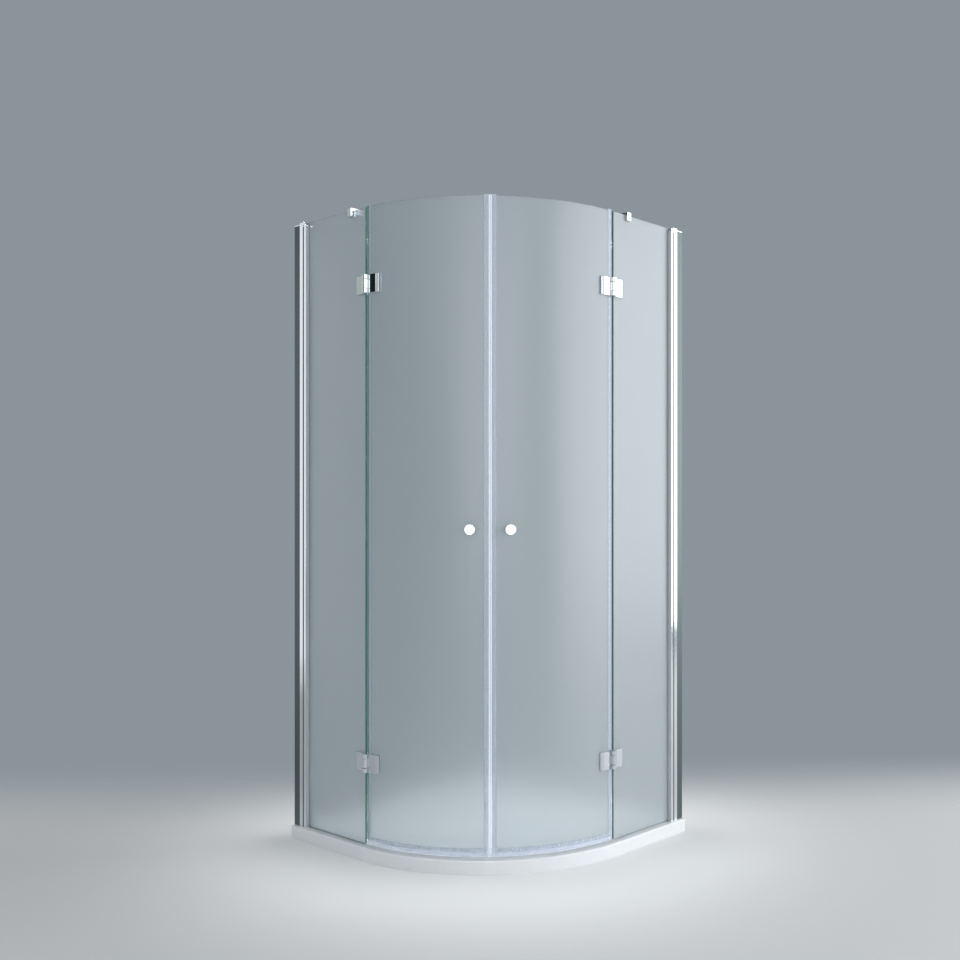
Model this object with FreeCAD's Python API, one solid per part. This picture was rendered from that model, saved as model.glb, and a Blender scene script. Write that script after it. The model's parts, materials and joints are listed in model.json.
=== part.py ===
import FreeCAD, Part
import math
import os
from FreeCAD import Vector

# Quadrant shower enclosure, in millimetres, Z up, floor at z = 0.
# One wall is the plane x = -TRAY_SIDE / 2 (the photo's left), the other y = +TRAY_SIDE / 2.
# Everything is the same on both sides of the plane x = -y, so each piece is drawn for the
# left side, whose fixed glass runs along X, and mirrored over to the right side.

# Tray
TRAY_SIDE = 900.0
TRAY_RADIUS = 550.0
TRAY_HEIGHT = 40.0
TRAY_CORNER = 3.0
RIM_WIDTH = 60.0
RIM_ROUND = 5.0
BASIN_EDGE_ROUND = 3.0
BASIN_WALL_RUN = 10.0
BASIN_CORNER = 45.0
BASIN_TOE_ROUND = 8.0
BASIN_DEPTH_AT_WASTE = 16.0
FLOOR_FALL = 0.006
WASTE_FROM_WALLS = 210.0
WASTE_HOLE_R = 45.0
WASTE_RECESS_R = 57.5
WASTE_RECESS_DEPTH = 6.0
COVER_R = 56.0
COVER_THICK = 3.2
COVER_DOME = 1.5
COVER_EDGE = 1.0
COVER_FOOT_R = 3.5
COVER_FOOT_HEIGHT = 2.5
COVER_FOOT_RING = 51.0
COVER_FEET = 6

# Glass
GLASS_TOP = 1960.0
GLASS_THICK = 6.0
GLASS_INSET = 25.0
GLASS_RADIUS = 535.0
GLASS_ARRIS = 0.6
FOOT_SEAL = 3.0
PAST_TANGENT = 4.0
HINGE_GAP = 12.0
SEAM_HALF_GAP = 9.0
DOOR_LIFT = 18.0

# Wall channel and the glazing profile that slides in it
CHANNEL_DEPTH = 28.0
CHANNEL_WIDTH = 28.0
CHANNEL_WALL = 1.7
CHANNEL_WEB = 2.0
CHANNEL_BELOW_TOP = 5.0
WALL_HOLE_R = 2.75
WALL_HOLES = 4
WALL_HOLE_PITCH = 580.0
WALL_HOLE_FIRST = 90.0
SLIDE_GAP = 0.4
PROFILE_REACH = 61.0
PROFILE_WIDTH = 30.0
PROFILE_START = 0.5
PROFILE_TONGUE = 18.5
PROFILE_WALL = 1.8
PROFILE_FACE = 2.5
PROFILE_BELOW_TOP = 12.0
SLOT_DEPTH = 23.0
GLAZING_GASKET = 1.5
GROOVE_FROM_WALL = 44.5
GROOVE_WIDTH = 7.0
GROOVE_DEPTH = 1.7
PROFILE_ROUND = 1.0
CAP_RISE = 3.0
CAP_BEVEL = 11.0
CAP_LID = 2.5
CAP_PLUG_R = 2.0
PROFILE_SCREWS = 3
PROFILE_SCREW_R = 2.0
PROFILE_SCREW_LENGTH = 4.4

# Hinges
HINGE_FROM_TOP = 233.5
HINGE_FROM_FOOT = 231.0
HINGE_HEIGHT = 56.0
AXIS_PAST_EDGE = 11.0
AXIS_OFF_GLASS = 10.0
BARREL_R = 9.0
KNUCKLE = 28.0
KNUCKLE_GAP = 1.0
KNUCKLE_AIR = 0.6
FRAME_REACH = 48.0
DOOR_REACH = 49.5
PLATE_THICK = 5.0
PLATE_BEVEL = 2.5
STEP_DROP = 1.8
STEP_RUN = 4.5
STEP_FLAT = 2.5
END_DROP = 2.2
END_RUN = 4.0
PLATE_EDGE = 0.8
BARREL_EDGE = 0.8
HINGE_GASKET = 1.0
GASKET_SET_IN = 0.5
CURVED_GASKET_AIR = 0.3
BACKPLATE_BACK = 13.0
PIN_R = 4.0
BUSH_R = 5.5
BUSH_CLEARANCE = 0.05
BUSH_PROUD = 0.4
HINGE_SCREW_R = 3.0
HINGE_SCREW_SPREAD = 16.0
FRAME_SCREW_AT = 29.0
DOOR_SCREW_AT = 31.0
SCREW_SKIN = 1.0
SOCKET_WIDTH = 0.75
SOCKET_DEPTH = 0.7
SLEEVE_CLEARANCE = 0.2
GLASS_HOLE_R = 6.0

# Door seals
SEAL_SKIN = 1.0
SEAL_SLIP = 0.05
SEAL_ABOVE_GLASS = 3.0
SIDE_SEAL_LEG = 13.0
SIDE_SEAL_STEM = 4.0
BULB_R = 4.0
BULB_WALL = 0.8
BULB_AIR = 0.4
HINGE_CUTOUT_AIR = 1.0
MAGNET_SEAL_LEG = 9.0
MAGNET_SEAL_AIR = 0.25
MAGNET_SKIN = 0.7
MAGNET_WIDTH = 3.2
MAGNET_SHORT = 8.0
BOTTOM_SEAL_LEG = 10.0
BOTTOM_SEAL_DROP = 13.0
BOTTOM_SEAL_BASE = 1.5
BOTTOM_FIN = 1.2
BOTTOM_FIN_SPLAY = 1.5
SEAL_JOINT = 0.4

# Knobs
KNOB_HEIGHT = 992.0
KNOB_FROM_SEAM = 55.7
KNOB_R = 15.6
KNOB_BASE_R = 10.0
KNOB_NECK_R = 7.5
KNOB_LENGTH = 29.0
KNOB_HEAD = 12.0
KNOB_ROUND = 1.0
KNOB_FOOT = 2.0
KNOB_FLARE = 4.0
KNOB_EDGE = 1.0
SLEEVE_OVERLAP = 0.2
KNOB_WASHER = 1.0
STUD_R = 4.0
STUD_IN_KNOB = 15.0

# Braces
CLAMP_FROM_EDGE = 68.5
CLAMP_WIDTH = 18.0
CLAMP_CHEEK = 6.5
CLAMP_PAD = 1.5
CLAMP_ABOVE_GLASS = 8.0
CLAMP_HEIGHT = 26.0
CLAMP_EDGE = 1.0
CLAMP_SCREW_R = 2.5
CLAMP_SCREW_UP = 5.0
BAR_R = 8.0
BAR_WALL = 1.2
FORK_REACH = 18.0
FORK_LUG = 4.4
EYE_THICK = 6.8
EYE_R = 7.0
EYE_NECK = 12.0
EYE_COLLAR = 3.0
EYE_PLUG = 15.0
BRACE_PIN_R = 2.5
FLANGE_THICK = 5.0
FLANGE_LENGTH = 46.0
FLANGE_HOLE_R = 2.3
FLANGE_HOLE_PITCH = 30.0
FLANGE_SWIVEL = 18.0

# Places that follow from the sizes
HALF = TRAY_SIDE / 2
WALL = -HALF
FACE_OUT = -HALF + GLASS_INSET
FACE_IN = FACE_OUT + GLASS_THICK
FACE_MID = (FACE_OUT + FACE_IN) / 2
ARC = Vector(HALF - GLASS_INSET - GLASS_RADIUS, -HALF + GLASS_INSET + GLASS_RADIUS, 0)
R_OUT = GLASS_RADIUS
R_IN = GLASS_RADIUS - GLASS_THICK
R_MID = (R_OUT + R_IN) / 2
FIXED_END = ARC.x + PAST_TANGENT
FIXED_LOW = TRAY_HEIGHT + FOOT_SEAL
DOOR_START = FIXED_END + HINGE_GAP
DOOR_LOW = TRAY_HEIGHT + DOOR_LIFT
AXIS = Vector(FIXED_END + AXIS_PAST_EDGE, FACE_OUT - AXIS_OFF_GLASS, 0)
HINGE_LEVELS = {"upper": GLASS_TOP - HINGE_FROM_TOP, "lower": DOOR_LOW + HINGE_FROM_FOOT}
SLOT_START = WALL + PROFILE_REACH - SLOT_DEPTH
PROFILE_END = WALL + PROFILE_REACH
PROFILE_TOP = GLASS_TOP - PROFILE_BELOW_TOP
CHANNEL_TOP = GLASS_TOP - CHANNEL_BELOW_TOP
UP = Vector(0, 0, 1)
SEAM_ANGLE = -45.0

os.makedirs("parts", exist_ok=True)


def box(x0, x1, y0, y1, z0, z1):
    return Part.makeBox(x1 - x0, y1 - y0, z1 - z0, Vector(x0, y0, z0))


def prism(points, low, high):
    """Extrude a closed outline, drawn in plan, from one height to another."""
    corners = [Vector(x, y, low) for x, y in points]
    face = Part.Face(Part.makePolygon(corners + corners[:1]))
    return face.extrude(Vector(0, 0, high - low))


def rod(radius, start, direction, length):
    return Part.makeCylinder(radius, length, start, direction)


def turned(points):
    """Turn a closed outline of (radius, height) points about the Z axis."""
    corners = [Vector(r, 0, z) for r, z in points]
    face = Part.Face(Part.makePolygon(corners + corners[:1]))
    return face.revolve(Vector(0, 0, 0), UP, 360)


def aim(shape, point, direction):
    """Put a piece drawn along +Z at a point, with its +Z turned to a direction."""
    shape.Placement = FreeCAD.Placement(point, FreeCAD.Rotation(UP, direction))
    return shape


def moved(shape, x, y, z):
    shape.translate(Vector(x, y, z))
    return shape


def polar(radius, angle, height=0.0):
    """A point at a radius and an angle round the axis of the curved glass."""
    turn = math.radians(angle)
    return ARC + Vector(radius * math.cos(turn), radius * math.sin(turn), height)


def angle_at(x):
    """The angle at which the middle of the curved glass passes a place along X."""
    return -90 + math.degrees(math.asin((x - ARC.x) / R_MID))


def angle_from_seam(distance):
    """The angle at a distance along the glass from the seam between the doors."""
    return SEAM_ANGLE - math.degrees(distance / R_MID)


def arc_between(radius, start, end, height):
    ends = [polar(radius, angle, height) for angle in (start, (start + end) / 2, end)]
    return Part.Arc(*ends).toShape()


def band(inner, outer, start, end, low, high, steps=()):
    """A piece of curved wall. Steps of (drop, run) lower its outer face towards the end angle."""
    radius = outer
    angle = end - math.degrees(sum(run for drop, run in steps) / outer)
    edges = [arc_between(outer, start, angle, low)]
    edge_line = [polar(radius, angle, low)]
    for drop, run in steps:
        radius -= drop
        angle += math.degrees(run / outer)
        edge_line.append(polar(radius, angle, low))
    edge_line.append(polar(inner, end, low))
    for a, b in zip(edge_line, edge_line[1:]):
        edges.append(Part.LineSegment(a, b).toShape())
    edges.append(arc_between(inner, end, start, low))
    edges.append(Part.LineSegment(polar(inner, start, low), polar(outer, start, low)).toShape())
    return Part.Face(Part.Wire(edges)).extrude(Vector(0, 0, high - low))


def swept(points, start, end):
    """Sweep an outline of (radius, height) points round the axis of the curved glass."""
    corners = [ARC + Vector(r, 0, z) for r, z in points]
    face = Part.Face(Part.makePolygon(corners + corners[:1]))
    face.rotate(ARC, UP, start)
    return face.revolve(ARC, UP, end - start)


def countersunk(radius, length, point, direction):
    """The room that a countersunk screw fills, with its flat head facing a direction."""
    room = turned([(0, 0), (2 * radius, 0), (radius, -radius), (radius, -length), (0, -length)])
    return aim(room, point, direction)


def hexagon_key(radius, depth, point, direction):
    """The hexagon socket in the head of a screw."""
    corners = [math.radians(60 * i) for i in range(6)]
    key = prism([(radius * math.cos(c), radius * math.sin(c)) for c in corners], -depth, 1)
    return aim(key, point, direction)


def socketed(room, radius, point, direction):
    return room.cut(hexagon_key(SOCKET_WIDTH * radius, SOCKET_DEPTH * radius, point, direction))


def twin(shape):
    """The right-hand copy of a left-hand piece."""
    return shape.mirror(Vector(0, 0, 0), Vector(1, 1, 0))


def save(node, solids):
    shape = solids[0] if len(solids) == 1 else Part.makeCompound(solids)
    shape.exportStep("parts/%s.step" % node)


# ---------------------------------------------------------------- tray and waste cover
def corner_arc(x, y, radius, start, height):
    """A quarter turn, clockwise seen from above, about a centre."""
    turns = [math.radians(start - step) for step in (0, 45, 90)]
    ends = [Vector(x + radius * math.cos(t), y + radius * math.sin(t), height) for t in turns]
    return Part.Arc(*ends).toShape()


def tray_outline(inset, corner, height):
    """The tray's plan, drawn in from its edge, as a closed wire at a height."""
    far = HALF - inset
    bend = HALF - TRAY_RADIUS
    radius = TRAY_RADIUS - inset
    near = far - corner
    path = [
        corner_arc(-near, -near, corner, 270, height),
        corner_arc(-near, near, corner, 180, height),
        corner_arc(near, near, corner, 90, height),
        corner_arc(bend, -bend, radius, 0, height),
    ]
    edges = []
    for arc, following in zip(path, path[1:] + path[:1]):
        edges.append(arc)
        edges.append(Part.LineSegment(arc.lastVertex(True).Point,
                                      following.firstVertex(True).Point).toShape())
    return Part.Wire(Part.__sortEdges__(edges))


def edges_where(shape, test):
    """The edges whose ends both pass a test of their place."""
    return [edge for edge in shape.Edges if all(test(v.Point) for v in edge.Vertexes)]


def edges_at(shape, height):
    """The edges that lie flat at a height."""
    return edges_where(shape, lambda point: abs(point.z - height) < 1e-4)


def make_tray():
    waste = (WALL + WASTE_FROM_WALLS, HALF - WASTE_FROM_WALLS)
    floor = TRAY_HEIGHT - BASIN_DEPTH_AT_WASTE
    slab = Part.Face(tray_outline(0, TRAY_CORNER, 0)).extrude(Vector(0, 0, TRAY_HEIGHT))
    slab = slab.makeFillet(RIM_ROUND, edges_at(slab, TRAY_HEIGHT))
    rim = tray_outline(RIM_WIDTH, BASIN_CORNER, TRAY_HEIGHT)
    toe = tray_outline(RIM_WIDTH + BASIN_WALL_RUN, BASIN_CORNER, floor)
    basin = Part.makeLoft([toe, rim], True, True)
    reach = TRAY_SIDE
    above_floor = moved(turned([(0, floor), (WASTE_RECESS_R, floor), (reach, floor + FLOOR_FALL * reach),
                                (reach, 2 * TRAY_HEIGHT), (0, 2 * TRAY_HEIGHT)]), *waste, 0)
    hollow = basin.common(above_floor)
    toe_edges = edges_where(hollow, lambda point: point.z < TRAY_HEIGHT - BASIN_EDGE_ROUND
                            and math.hypot(point.x - waste[0], point.y - waste[1]) > 2 * WASTE_RECESS_R)
    hollow = hollow.makeFillet(BASIN_TOE_ROUND, toe_edges)
    tray = slab.cut(hollow)
    inside = HALF - RIM_WIDTH + 1
    mouth = [e for e in edges_at(tray, TRAY_HEIGHT)
             if max(abs(v.X) for v in e.Vertexes) < inside and max(abs(v.Y) for v in e.Vertexes) < inside]
    tray = tray.makeFillet(BASIN_EDGE_ROUND, mouth)
    recess_floor = floor - WASTE_RECESS_DEPTH
    tray = tray.cut(rod(WASTE_RECESS_R, Vector(*waste, recess_floor), UP, TRAY_HEIGHT))
    tray = tray.cut(rod(WASTE_HOLE_R, Vector(*waste, -1), UP, TRAY_HEIGHT))

    under = recess_floor + COVER_FOOT_HEIGHT
    top = under + COVER_THICK
    cover = turned([(0, under), (COVER_R, under), (COVER_R, top - COVER_EDGE), (COVER_R - COVER_EDGE, top),
                    (0, top + COVER_DOME)])
    for number in range(COVER_FEET):
        turn = math.radians(360 / COVER_FEET * number)
        at = Vector(COVER_FOOT_RING * math.cos(turn), COVER_FOOT_RING * math.sin(turn), recess_floor)
        cover = cover.fuse(rod(COVER_FOOT_R, at, UP, COVER_FOOT_HEIGHT + COVER_THICK / 2))
    return tray, moved(cover.removeSplitter(), *waste, SLIDE_GAP)


# ---------------------------------------------------------------- wall side of one fixed panel
def make_wall_channel():
    low, high = FACE_MID - CHANNEL_WIDTH / 2, FACE_MID + CHANNEL_WIDTH / 2
    channel = box(WALL, WALL + CHANNEL_DEPTH, low, high, TRAY_HEIGHT, CHANNEL_TOP)
    channel = channel.cut(box(WALL + CHANNEL_WEB, 0, low + CHANNEL_WALL, high - CHANNEL_WALL,
                              0, GLASS_TOP))
    for number in range(WALL_HOLES):
        level = TRAY_HEIGHT + WALL_HOLE_FIRST + WALL_HOLE_PITCH * number
        start = Vector(WALL - 1, FACE_MID, level)
        channel = channel.cut(rod(WALL_HOLE_R, start, Vector(1, 0, 0), CHANNEL_DEPTH))
    return channel


def make_glazing_profile():
    head = WALL + CHANNEL_DEPTH + PROFILE_START
    half = PROFILE_WIDTH / 2
    tongue = CHANNEL_WIDTH / 2 - CHANNEL_WALL - SLIDE_GAP
    slot = GLASS_THICK / 2 + GLAZING_GASKET
    outline = [(head - PROFILE_TONGUE, -tongue), (head, -tongue), (head, -half), (PROFILE_END, -half),
               (PROFILE_END, -slot), (SLOT_START, -slot), (SLOT_START, slot), (PROFILE_END, slot),
               (PROFILE_END, half), (head, half), (head, tongue), (head - PROFILE_TONGUE, tongue)]
    low = TRAY_HEIGHT
    profile = prism([(x, FACE_MID + y) for x, y in outline], low, PROFILE_TOP)
    corners = edges_where(profile, lambda point: abs(abs(point.y - FACE_MID) - half) < 1e-4)
    profile = profile.makeFillet(PROFILE_ROUND, [e for e in corners if e.Length > PROFILE_REACH])
    start = head - PROFILE_TONGUE + PROFILE_WALL
    inside = tongue - PROFILE_WALL
    chambers = [box(start, head - PROFILE_WALL, FACE_MID - inside, FACE_MID + inside, 0, GLASS_TOP)]
    for side in (-1, 1):
        ends = sorted((FACE_MID + side * (slot + PROFILE_WALL), FACE_MID + side * (half - PROFILE_FACE)))
        chambers.append(box(head + PROFILE_WALL, PROFILE_END - PROFILE_WALL, *ends, 0, GLASS_TOP))
        groove = sorted((FACE_MID + side * (half - GROOVE_DEPTH), FACE_MID + side * (half + 1)))
        at = WALL + GROOVE_FROM_WALL
        chambers.append(box(at, at + GROOVE_WIDTH, *groove, 0, GLASS_TOP))
    return profile.cut(Part.makeCompound(chambers))


def make_profile_cap():
    """The moulded cap: a lid over the channel and a block that carries on the glazing profile."""
    head = WALL + CHANNEL_DEPTH + PROFILE_START
    top = GLASS_TOP + CAP_RISE
    half = PROFILE_WIDTH / 2
    side = [(head, PROFILE_TOP), (head, top), (PROFILE_END - CAP_BEVEL, top),
            (PROFILE_END, top - CAP_BEVEL), (PROFILE_END, PROFILE_TOP)]
    corners = [Vector(x, FACE_MID - half, z) for x, z in side]
    face = Part.Face(Part.makePolygon(corners + corners[:1]))
    cap = face.extrude(Vector(0, PROFILE_WIDTH, 0))
    rim = [e for e in cap.Edges if abs(abs(e.CenterOfMass.y - FACE_MID) - half) < 1e-4
           and e.CenterOfMass.z > PROFILE_TOP + 1e-4]
    cap = cap.makeFillet(PROFILE_ROUND, rim)
    wide = CHANNEL_WIDTH / 2
    cap = cap.fuse(box(WALL, head + 1, FACE_MID - wide, FACE_MID + wide, CHANNEL_TOP, CHANNEL_TOP + CAP_LID))
    slot = GLASS_THICK / 2 + GLAZING_GASKET
    cap = cap.cut(box(SLOT_START, 0, FACE_MID - slot, FACE_MID + slot, 0, GLASS_TOP))
    plug_at = WALL + GROOVE_FROM_WALL + GROOVE_WIDTH / 2
    level = (PROFILE_TOP + top - CAP_BEVEL) / 2 + CAP_PLUG_R
    for sign in (-1, 1):
        start = Vector(plug_at, FACE_MID + sign * (half + 1), level)
        cap = cap.cut(rod(CAP_PLUG_R, start, Vector(0, -sign, 0), 1 + PROFILE_FACE))
    return cap


def make_profile_screws():
    """Pan-head screws from inside the shower, through the channel into the profile."""
    face = FACE_MID + CHANNEL_WIDTH / 2
    head = WALL + CHANNEL_DEPTH + PROFILE_START - PROFILE_TONGUE / 2
    screws = []
    for number in range(PROFILE_SCREWS):
        level = TRAY_HEIGHT + (CHANNEL_TOP - TRAY_HEIGHT) * (number + 0.5) / PROFILE_SCREWS
        r = PROFILE_SCREW_R
        screw = turned([(0, -PROFILE_SCREW_LENGTH), (r, -PROFILE_SCREW_LENGTH), (r, 0), (2 * r, 0),
                        (2 * r, 0.5 * r), (r, r), (0, r)])
        screws.append(aim(screw, Vector(head, face, level), Vector(0, 1, 0)))
    return screws


def drilled(shape, tools):
    return shape.cut(Part.makeCompound(tools))


# ---------------------------------------------------------------- hinges of one side
def barrel_rod(foot, length):
    """A length of the hinge barrel with both its ends chamfered."""
    r, edge = BARREL_R, BARREL_EDGE
    barrel = turned([(0, 0), (r - edge, 0), (r, edge), (r, length - edge), (r - edge, length),
                     (0, length)])
    return aim(barrel, foot, UP)


def screw_levels(level):
    return [level - HINGE_SCREW_SPREAD, level + HINGE_SCREW_SPREAD]


def make_frame_hinge(level):
    """Leaf, backplate, gaskets and screws that grip the fixed glass, and the hinge pin."""
    low, high = level - HINGE_HEIGHT / 2, level + HINGE_HEIGHT / 2
    start, end = AXIS.x - FRAME_REACH, FIXED_END - GASKET_SET_IN
    inner_face = FACE_OUT - HINGE_GASKET
    outer_face = inner_face - PLATE_THICK
    back = FACE_IN + HINGE_GASKET + PLATE_THICK
    rooms, screws = [], []
    for z in screw_levels(level):
        head = Vector(AXIS.x - FRAME_SCREW_AT, back, z)
        inward = Vector(0, 1, 0)
        rooms.append(countersunk(HINGE_SCREW_R, back - outer_face - SCREW_SKIN, head, inward))
        screws.append(socketed(rooms[-1], HINGE_SCREW_R, head, inward))
    plate = prism([(start, inner_face), (start, outer_face + PLATE_BEVEL),
                   (start + PLATE_BEVEL, outer_face), (AXIS.x, outer_face), (AXIS.x, inner_face)],
                  low, high)
    for z in (low, high):
        rim = [e for e in edges_at(plate, z) if e.CenterOfMass.y < (inner_face + outer_face) / 2]
        plate = plate.makeChamfer(PLATE_EDGE, rim)
    foot = AXIS + Vector(0, 0, low)
    leaf = plate.fuse(barrel_rod(foot, HINGE_HEIGHT))
    room = KNUCKLE / 2 + KNUCKLE_GAP
    leaf = leaf.cut(box(AXIS.x - BARREL_R - KNUCKLE_AIR, AXIS.x + 2 * BARREL_R, AXIS.y - 2 * BARREL_R,
                        FACE_OUT, level - room, level + room))
    pin = rod(PIN_R, foot, UP, HINGE_HEIGHT)
    leaf = drilled(leaf, [pin] + rooms)
    backplate = box(start, end, back - PLATE_THICK, back, low, high)
    backplate = backplate.makeChamfer(PLATE_EDGE, [e for e in backplate.Edges
                                                   if abs(e.BoundBox.YMin - back) < 1e-6])
    backplate = drilled(backplate, rooms)
    gaskets = []
    for y in (FACE_OUT - HINGE_GASKET, FACE_IN):
        gaskets.append(box(start + GASKET_SET_IN, end, y, y + HINGE_GASKET,
                           low + GASKET_SET_IN, high - GASKET_SET_IN))
    for screw_z in screw_levels(level):
        at = Vector(AXIS.x - FRAME_SCREW_AT, FACE_OUT - HINGE_GASKET, screw_z)
        sleeve = rod(GLASS_HOLE_R - SLEEVE_CLEARANCE, at, Vector(0, 1, 0), GLASS_THICK + HINGE_GASKET)
        gaskets[0] = gaskets[0].fuse(sleeve)
    gaskets = [drilled(gasket, rooms) for gasket in gaskets]
    return leaf, backplate, gaskets, screws, pin


def make_door_hinge(level):
    """Leaf, backplate, gaskets and screws that grip the curved door, and the knuckle's bush.

    The leaf's free end is lowered in two sloping steps with a flat between them."""
    low, high = level - HINGE_HEIGHT / 2, level + HINGE_HEIGHT / 2
    start = angle_at(AXIS.x + BARREL_R + KNUCKLE_AIR)
    back_start = angle_at(AXIS.x + BACKPLATE_BACK)
    end = angle_at(AXIS.x + DOOR_REACH)
    screw_angle = angle_at(AXIS.x + DOOR_SCREW_AT)
    out_low = R_OUT + HINGE_GASKET
    out_high = out_low + PLATE_THICK
    back = R_IN - HINGE_GASKET - PLATE_THICK
    rooms, screws = [], []
    inward = polar(0, screw_angle) - polar(1, screw_angle)
    for z in screw_levels(level):
        head = polar(back, screw_angle, z)
        rooms.append(countersunk(HINGE_SCREW_R, out_high - back - SCREW_SKIN, head, inward))
        screws.append(socketed(rooms[-1], HINGE_SCREW_R, head, inward))
    leaf_end = ((STEP_DROP, STEP_RUN), (0, STEP_FLAT), (END_DROP, END_RUN))
    leaf = band(out_low, out_high, start, end, low, high, leaf_end)
    for z in (low, high):
        rim = [e for e in edges_at(leaf, z)
               if (e.CenterOfMass - ARC - UP * z).Length > out_low + PLATE_THICK / 3]
        leaf = leaf.makeChamfer(PLATE_EDGE, rim)
    knuckle_low = level - KNUCKLE / 2
    arm = band(out_low, out_high, angle_at(AXIS.x), start + 0.1, knuckle_low, knuckle_low + KNUCKLE)
    barrel = barrel_rod(AXIS + Vector(0, 0, knuckle_low), KNUCKLE)
    leaf = leaf.fuse([arm, barrel])
    bush_foot = AXIS + Vector(0, 0, knuckle_low - BUSH_PROUD)
    bush_length = KNUCKLE + 2 * BUSH_PROUD
    bush = rod(BUSH_R, bush_foot, UP, bush_length)
    leaf = drilled(leaf, [bush] + rooms)
    bush = bush.cut(rod(PIN_R + BUSH_CLEARANCE, bush_foot, UP, bush_length))
    backplate = band(back, back + PLATE_THICK, back_start, end, low, high)
    backplate = backplate.makeChamfer(PLATE_EDGE, edges_where(
        backplate, lambda point: math.hypot(point.x - ARC.x, point.y - ARC.y) < back + PLATE_THICK / 2))
    backplate = drilled(backplate, rooms)
    gasket_end = end - math.degrees(GASKET_SET_IN / R_MID)
    gaskets = []
    air = CURVED_GASKET_AIR
    for inner, outer in ((R_OUT + air, out_low), (back + PLATE_THICK, R_IN - air)):
        gaskets.append(band(inner, outer, back_start, gasket_end, low + GASKET_SET_IN, high - GASKET_SET_IN))
    for z in screw_levels(level):
        sleeve = rod(GLASS_HOLE_R - SLEEVE_CLEARANCE, polar(R_IN, screw_angle, z), inward.negative(),
                     GLASS_THICK + HINGE_GASKET / 2)
        gaskets[0] = gaskets[0].fuse(sleeve)
    inner_bore = Part.makeCylinder(R_IN, GLASS_TOP, ARC)
    gaskets[0] = gaskets[0].cut(inner_bore)
    gaskets = [drilled(gasket, rooms) for gasket in gaskets]
    return leaf, backplate, gaskets, screws, bush


# ---------------------------------------------------------------- glass
def make_fixed_panel():
    panel = box(SLOT_START + GLAZING_GASKET, FIXED_END, FACE_OUT, FACE_IN, FIXED_LOW, GLASS_TOP)
    panel = panel.makeChamfer(GLASS_ARRIS, panel.Edges)
    holes = []
    for level in HINGE_LEVELS.values():
        for z in screw_levels(level):
            at = Vector(AXIS.x - FRAME_SCREW_AT, FACE_OUT - 1, z)
            holes.append(rod(GLASS_HOLE_R, at, Vector(0, 1, 0), GLASS_THICK + 2))
    return drilled(panel, holes)


def make_door_panel():
    panel = band(R_IN, R_OUT, angle_at(DOOR_START), angle_from_seam(SEAM_HALF_GAP), DOOR_LOW, GLASS_TOP)
    panel = panel.makeChamfer(GLASS_ARRIS, panel.Edges)
    places = [(angle_at(AXIS.x + DOOR_SCREW_AT), z)
              for level in HINGE_LEVELS.values() for z in screw_levels(level)]
    places.append((angle_from_seam(KNOB_FROM_SEAM), KNOB_HEIGHT))
    holes = []
    for angle, z in places:
        outward = polar(1, angle, z) - polar(0, angle, z)
        holes.append(rod(GLASS_HOLE_R, polar(R_IN - 1, angle, z), outward, GLASS_THICK + 2))
    return drilled(panel, holes)


# ---------------------------------------------------------------- seals of one door
def make_side_seal():
    """The clear seal on the hinge edge, cut away round the hinges."""
    low, high = DOOR_LOW, GLASS_TOP + SEAL_ABOVE_GLASS
    edge = angle_at(DOOR_START)
    web = angle_at(DOOR_START - SEAL_SKIN)
    leg = angle_at(DOOR_START + SIDE_SEAL_LEG)
    inner, outer = R_IN - SEAL_SKIN, R_OUT + SEAL_SKIN
    bulb_at = FIXED_END + BULB_AIR + BULB_R
    foot = polar(R_MID, angle_at(bulb_at), low)
    stem = SIDE_SEAL_STEM / 2
    seal = band(inner, outer, web, leg, low, high)
    seal = seal.cut(band(R_IN - SEAL_SLIP, R_OUT + SEAL_SLIP, edge, leg + 1, low - 1, high + 1))
    seal = seal.fuse([band(R_MID - stem, R_MID + stem, angle_at(bulb_at), web + 0.01, low, high),
                      rod(BULB_R, foot, UP, high - low)])
    seal = seal.cut(rod(BULB_R - BULB_WALL, foot, UP, high - low))
    room = HINGE_HEIGHT / 2 + HINGE_CUTOUT_AIR
    for level in HINGE_LEVELS.values():
        seal = seal.cut(box(AXIS.x - FRAME_REACH, AXIS.x + DOOR_REACH, AXIS.y, AXIS.y + DOOR_REACH,
                            level - room, level + room))
    return seal.Solids


def make_magnetic_seal():
    """The seal on the free edge, with its magnet strip moulded in behind the mitred face."""
    low, high = DOOR_LOW, GLASS_TOP + SEAL_ABOVE_GLASS
    inner, outer = R_IN - SEAL_SKIN, R_OUT + SEAL_SKIN
    face = angle_from_seam(MAGNET_SEAL_AIR)
    edge = angle_from_seam(SEAM_HALF_GAP)
    leg = angle_from_seam(SEAM_HALF_GAP + MAGNET_SEAL_LEG)
    magnet_near = MAGNET_SEAL_AIR + MAGNET_SKIN
    magnet_far = magnet_near + MAGNET_WIDTH
    hollow_near = magnet_far + MAGNET_SKIN
    magnet = band(R_IN + MAGNET_SKIN, R_OUT - MAGNET_SKIN, angle_from_seam(magnet_far),
                  angle_from_seam(magnet_near), low + MAGNET_SHORT, high - SEAL_SKIN)
    hollow = band(R_IN, R_OUT, angle_from_seam(SEAM_HALF_GAP - SEAL_SKIN),
                  angle_from_seam(hollow_near), low - 1, high + 1)
    seal = band(inner, outer, leg, face, low, high)
    seal = seal.cut(band(R_IN - SEAL_SLIP, R_OUT + SEAL_SLIP, leg - 1, edge, low - 1, high + 1))
    return seal.cut(Part.makeCompound([hollow, magnet])), magnet


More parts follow.
